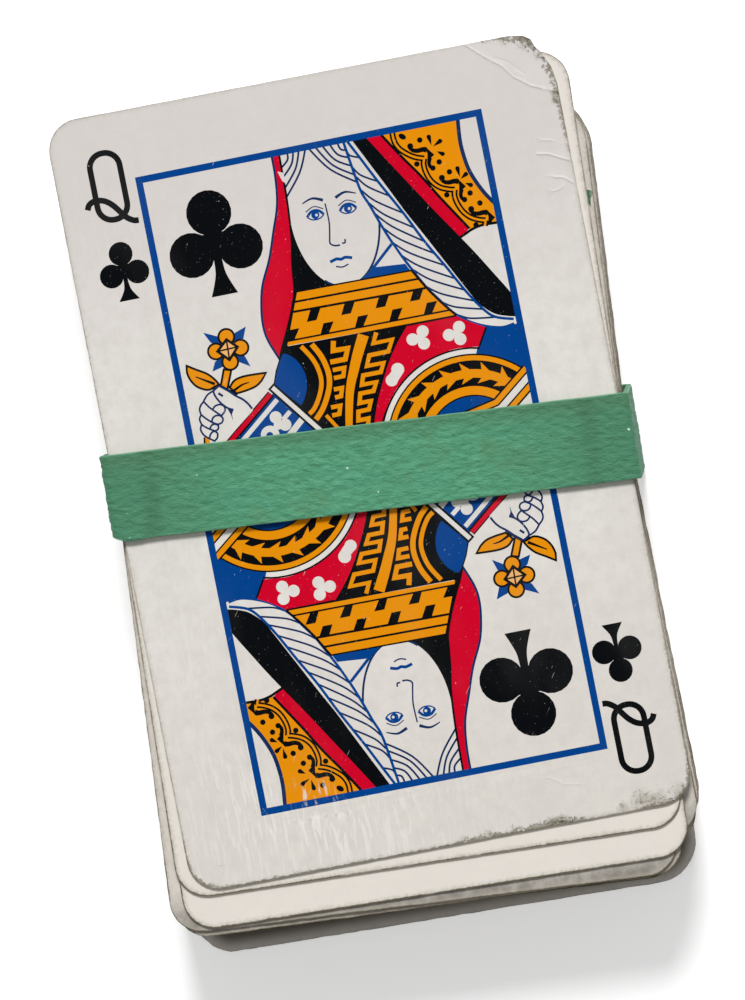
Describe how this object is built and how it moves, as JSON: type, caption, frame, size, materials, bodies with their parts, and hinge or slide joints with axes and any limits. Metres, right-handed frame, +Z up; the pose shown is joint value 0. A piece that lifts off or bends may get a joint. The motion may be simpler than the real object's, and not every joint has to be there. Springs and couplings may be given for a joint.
{
  "type": "playing card deck",
  "caption": "Worn deck of narrow playing cards, face up with the queen of clubs on top, held by a wide flat rubber band that each card slides out of lengthwise.",
  "frame": {"origin": "middle of the band's lower run, on the surface that the deck lies on", "axes": "+Y along the deck towards the top card's upper end, +X across it, +Z up through the cards to the printed face on top"},
  "size_m": [0.063, 0.0986, 0.0171],
  "materials": {
    "card": "worn satin coating",
    "band": "matt, finely wrinkled"
  },
  "bodies": {
    "rubber_band": {"rubber_band": "band"},
    "queen_of_clubs": {"queen_of_clubs": "card"},
    "five_of_spades": {"five_of_spades": "card"},
    "jack_of_hearts": {"jack_of_hearts": "card"},
    "four_of_diamonds": {"four_of_diamonds": "card"},
    "ten_of_spades": {"ten_of_spades": "card"},
    "three_of_clubs": {"three_of_clubs": "card"},
    "nine_of_diamonds": {"nine_of_diamonds": "card"},
    "two_of_hearts": {"two_of_hearts": "card"},
    "eight_of_clubs": {"eight_of_clubs": "card"},
    "ace_of_spades": {"ace_of_spades": "card"},
    "seven_of_hearts": {"seven_of_hearts": "card"},
    "king_of_clubs": {"king_of_clubs": "card"},
    "six_of_spades": {"six_of_spades": "card"},
    "queen_of_hearts": {"queen_of_hearts": "card"},
    "five_of_diamonds": {"five_of_diamonds": "card"},
    "jack_of_spades": {"jack_of_spades": "card"},
    "four_of_clubs": {"four_of_clubs": "card"},
    "ten_of_diamonds": {"ten_of_diamonds": "card"},
    "three_of_hearts": {"three_of_hearts": "card"},
    "nine_of_clubs": {"nine_of_clubs": "card"},
    "two_of_spades": {"two_of_spades": "card"},
    "eight_of_hearts": {"eight_of_hearts": "card"},
    "ace_of_diamonds": {"ace_of_diamonds": "card"},
    "seven_of_spades": {"seven_of_spades": "card"},
    "king_of_hearts": {"king_of_hearts": "card"},
    "six_of_diamonds": {"six_of_diamonds": "card"},
    "queen_of_spades": {"queen_of_spades": "card"},
    "five_of_clubs": {"five_of_clubs": "card"},
    "jack_of_diamonds": {"jack_of_diamonds": "card"},
    "four_of_hearts": {"four_of_hearts": "card"},
    "ten_of_clubs": {"ten_of_clubs": "card"},
    "three_of_spades": {"three_of_spades": "card"},
    "nine_of_hearts": {"nine_of_hearts": "card"},
    "two_of_diamonds": {"two_of_diamonds": "card"},
    "eight_of_spades": {"eight_of_spades": "card"},
    "ace_of_clubs": {"ace_of_clubs": "card"},
    "seven_of_diamonds": {"seven_of_diamonds": "card"},
    "king_of_spades": {"king_of_spades": "card"},
    "six_of_clubs": {"six_of_clubs": "card"},
    "queen_of_diamonds": {"queen_of_diamonds": "card"},
    "five_of_hearts": {"five_of_hearts": "card"},
    "jack_of_clubs": {"jack_of_clubs": "card"},
    "four_of_spades": {"four_of_spades": "card"},
    "ten_of_hearts": {"ten_of_hearts": "card"},
    "three_of_diamonds": {"three_of_diamonds": "card"},
    "nine_of_spades": {"nine_of_spades": "card"},
    "two_of_clubs": {"two_of_clubs": "card"},
    "eight_of_diamonds": {"eight_of_diamonds": "card"},
    "ace_of_hearts": {"ace_of_hearts": "card"},
    "seven_of_clubs": {"seven_of_clubs": "card"},
    "king_of_diamonds": {"king_of_diamonds": "card"},
    "six_of_hearts": {"six_of_hearts": "card"}
  },
  "joints": [
    {"name": "queen_of_clubs_slide", "type": "slide", "parent": "rubber_band", "child": "queen_of_clubs", "axis": [-0.0698, 0.9976, 0], "range_m": [-0.06, 0.06]},
    {"name": "five_of_spades_slide", "type": "slide", "parent": "rubber_band", "child": "five_of_spades", "axis": [-0.0332, 0.9995, 0], "range_m": [-0.06, 0.06]},
    {"name": "jack_of_hearts_slide", "type": "slide", "parent": "rubber_band", "child": "jack_of_hearts", "axis": [-0.0384, 0.9993, 0], "range_m": [-0.06, 0.06]},
    {"name": "four_of_diamonds_slide", "type": "slide", "parent": "rubber_band", "child": "four_of_diamonds", "axis": [-0.0062, 1, 0], "range_m": [-0.06, 0.06]},
    {"name": "ten_of_spades_slide", "type": "slide", "parent": "rubber_band", "child": "ten_of_spades", "axis": [-0.017, 0.9999, 0], "range_m": [-0.06, 0.06]},
    {"name": "three_of_clubs_slide", "type": "slide", "parent": "rubber_band", "child": "three_of_clubs", "axis": [-0.0724, 0.9974, 0], "range_m": [-0.06, 0.06]},
    {"name": "nine_of_diamonds_slide", "type": "slide", "parent": "rubber_band", "child": "nine_of_diamonds", "axis": [-0.0522, 0.9986, 0], "range_m": [-0.06, 0.06]},
    {"name": "two_of_hearts_slide", "type": "slide", "parent": "rubber_band", "child": "two_of_hearts", "axis": [-0.0647, 0.9979, 0], "range_m": [-0.06, 0.06]},
    {"name": "eight_of_clubs_slide", "type": "slide", "parent": "rubber_band", "child": "eight_of_clubs", "axis": [-0.0078, 1, 0], "range_m": [-0.06, 0.06]},
    {"name": "ace_of_spades_slide", "type": "slide", "parent": "rubber_band", "child": "ace_of_spades", "axis": [-0.0011, 1, 0], "range_m": [-0.06, 0.06]},
    {"name": "seven_of_hearts_slide", "type": "slide", "parent": "rubber_band", "child": "seven_of_hearts", "axis": [-0.0119, 0.9999, 0], "range_m": [-0.06, 0.06]},
    {"name": "king_of_clubs_slide", "type": "slide", "parent": "rubber_band", "child": "king_of_clubs", "axis": [-0.0052, 1, 0], "range_m": [-0.06, 0.06]},
    {"name": "six_of_spades_slide", "type": "slide", "parent": "rubber_band", "child": "six_of_spades", "axis": [-0.016, 0.9999, 0], "range_m": [-0.06, 0.06]},
    {"name": "queen_of_hearts_slide", "type": "slide", "parent": "rubber_band", "child": "queen_of_hearts", "axis": [-0.0093, 1, 0], "range_m": [-0.06, 0.06]},
    {"name": "five_of_diamonds_slide", "type": "slide", "parent": "rubber_band", "child": "five_of_diamonds", "axis": [-0.054, 0.9985, 0], "range_m": [-0.06, 0.06]},
    {"name": "jack_of_spades_slide", "type": "slide", "parent": "rubber_band", "child": "jack_of_spades", "axis": [-0.0665, 0.9978, 0], "range_m": [-0.06, 0.06]},
    {"name": "four_of_clubs_slide", "type": "slide", "parent": "rubber_band", "child": "four_of_clubs", "axis": [-0.079, 0.9969, 0], "range_m": [-0.06, 0.06]},
    {"name": "ten_of_diamonds_slide", "type": "slide", "parent": "rubber_band", "child": "ten_of_diamonds", "axis": [-0.0001, 1, 0], "range_m": [-0.06, 0.06]},
    {"name": "three_of_hearts_slide", "type": "slide", "parent": "rubber_band", "child": "three_of_hearts", "axis": [-0.0109, 0.9999, 0], "range_m": [-0.06, 0.06]},
    {"name": "nine_of_clubs_slide", "type": "slide", "parent": "rubber_band", "child": "nine_of_clubs", "axis": [-0.0042, 1, 0], "range_m": [-0.06, 0.06]},
    {"name": "two_of_spades_slide", "type": "slide", "parent": "rubber_band", "child": "two_of_spades", "axis": [-0.015, 0.9999, 0], "range_m": [-0.06, 0.06]},
    {"name": "eight_of_hearts_slide", "type": "slide", "parent": "rubber_band", "child": "eight_of_hearts", "axis": [-0.0084, 1, 0], "range_m": [-0.06, 0.06]},
    {"name": "ace_of_diamonds_slide", "type": "slide", "parent": "rubber_band", "child": "ace_of_diamonds", "axis": [-0.0017, 1, 0], "range_m": [-0.06, 0.06]},
    {"name": "seven_of_spades_slide", "type": "slide", "parent": "rubber_band", "child": "seven_of_spades", "axis": [-0.0684, 0.9977, 0], "range_m": [-0.06, 0.06]},
    {"name": "king_of_hearts_slide", "type": "slide", "parent": "rubber_band", "child": "king_of_hearts", "axis": [-0.0809, 0.9967, 0], "range_m": [-0.06, 0.06]},
    {"name": "six_of_diamonds_slide", "type": "slide", "parent": "rubber_band", "child": "six_of_diamonds", "axis": [-0.0606, 0.9982, 0], "range_m": [-0.06, 0.06]},
    {"name": "queen_of_spades_slide", "type": "slide", "parent": "rubber_band", "child": "queen_of_spades", "axis": [-0.0099, 1, 0], "range_m": [-0.06, 0.06]},
    {"name": "five_of_clubs_slide", "type": "slide", "parent": "rubber_band", "child": "five_of_clubs", "axis": [-0.0033, 1, 0], "range_m": [-0.06, 0.06]},
    {"name": "jack_of_diamonds_slide", "type": "slide", "parent": "rubber_band", "child": "jack_of_diamonds", "axis": [-0.014, 0.9999, 0], "range_m": [-0.06, 0.06]},
    {"name": "four_of_hearts_slide", "type": "slide", "parent": "rubber_band", "child": "four_of_hearts", "axis": [-0.0074, 1, 0], "range_m": [-0.06, 0.06]},
    {"name": "ten_of_clubs_slide", "type": "slide", "parent": "rubber_band", "child": "ten_of_clubs", "axis": [-0.0007, 1, 0], "range_m": [-0.06, 0.06]},
    {"name": "three_of_spades_slide", "type": "slide", "parent": "rubber_band", "child": "three_of_spades", "axis": [-0.0115, 0.9999, 0], "range_m": [-0.06, 0.06]},
    {"name": "nine_of_hearts_slide", "type": "slide", "parent": "rubber_band", "child": "nine_of_hearts", "axis": [-0.0499, 0.9988, 0], "range_m": [-0.06, 0.06]},
    {"name": "two_of_diamonds_slide", "type": "slide", "parent": "rubber_band", "child": "two_of_diamonds", "axis": [-0.0625, 0.998, 0], "range_m": [-0.06, 0.06]},
    {"name": "eight_of_spades_slide", "type": "slide", "parent": "rubber_band", "child": "eight_of_spades", "axis": [-0.075, 0.9972, 0], "range_m": [-0.06, 0.06]},
    {"name": "ace_of_clubs_slide", "type": "slide", "parent": "rubber_band", "child": "ace_of_clubs", "axis": [-0.0023, 1, 0], "range_m": [-0.06, 0.06]},
    {"name": "seven_of_diamonds_slide", "type": "slide", "parent": "rubber_band", "child": "seven_of_diamonds", "axis": [-0.0131, 0.9999, 0], "range_m": [-0.06, 0.06]},
    {"name": "king_of_spades_slide", "type": "slide", "parent": "rubber_band", "child": "king_of_spades", "axis": [-0.0064, 1, 0], "range_m": [-0.06, 0.06]},
    {"name": "six_of_clubs_slide", "type": "slide", "parent": "rubber_band", "child": "six_of_clubs", "axis": [-0.0172, 0.9999, 0], "range_m": [-0.06, 0.06]},
    {"name": "queen_of_diamonds_slide", "type": "slide", "parent": "rubber_band", "child": "queen_of_diamonds", "axis": [-0.0105, 0.9999, 0], "range_m": [-0.06, 0.06]},
    {"name": "five_of_hearts_slide", "type": "slide", "parent": "rubber_band", "child": "five_of_hearts", "axis": [-0.0039, 1, 0], "range_m": [-0.06, 0.06]},
    {"name": "jack_of_clubs_slide", "type": "slide", "parent": "rubber_band", "child": "jack_of_clubs", "axis": [-0.0643, 0.9979, 0], "range_m": [-0.06, 0.06]},
    {"name": "four_of_spades_slide", "type": "slide", "parent": "rubber_band", "child": "four_of_spades", "axis": [-0.0768, 0.997, 0], "range_m": [-0.06, 0.06]},
    {"name": "ten_of_hearts_slide", "type": "slide", "parent": "rubber_band", "child": "ten_of_hearts", "axis": [-0.0566, 0.9984, 0], "range_m": [-0.06, 0.06]},
    {"name": "three_of_diamonds_slide", "type": "slide", "parent": "rubber_band", "child": "three_of_diamonds", "axis": [-0.0121, 0.9999, 0], "range_m": [-0.06, 0.06]},
    {"name": "nine_of_spades_slide", "type": "slide", "parent": "rubber_band", "child": "nine_of_spades", "axis": [-0.0054, 1, 0], "range_m": [-0.06, 0.06]},
    {"name": "two_of_clubs_slide", "type": "slide", "parent": "rubber_band", "child": "two_of_clubs", "axis": [-0.0162, 0.9999, 0], "range_m": [-0.06, 0.06]},
    {"name": "eight_of_diamonds_slide", "type": "slide", "parent": "rubber_band", "child": "eight_of_diamonds", "axis": [-0.0096, 1, 0], "range_m": [-0.06, 0.06]},
    {"name": "ace_of_hearts_slide", "type": "slide", "parent": "rubber_band", "child": "ace_of_hearts", "axis": [-0.0029, 1, 0], "range_m": [-0.06, 0.06]},
    {"name": "seven_of_clubs_slide", "type": "slide", "parent": "rubber_band", "child": "seven_of_clubs", "axis": [-0.0433, 0.9991, 0], "range_m": [-0.06, 0.06]},
    {"name": "king_of_diamonds_slide", "type": "slide", "parent": "rubber_band", "child": "king_of_diamonds", "axis": [-0.0367, 0.9993, 0], "range_m": [-0.06, 0.06]},
    {"name": "six_of_hearts_slide", "type": "slide", "parent": "rubber_band", "child": "six_of_hearts", "axis": [-0.03, 0.9995, 0], "range_m": [-0.06, 0.06]}
  ]
}
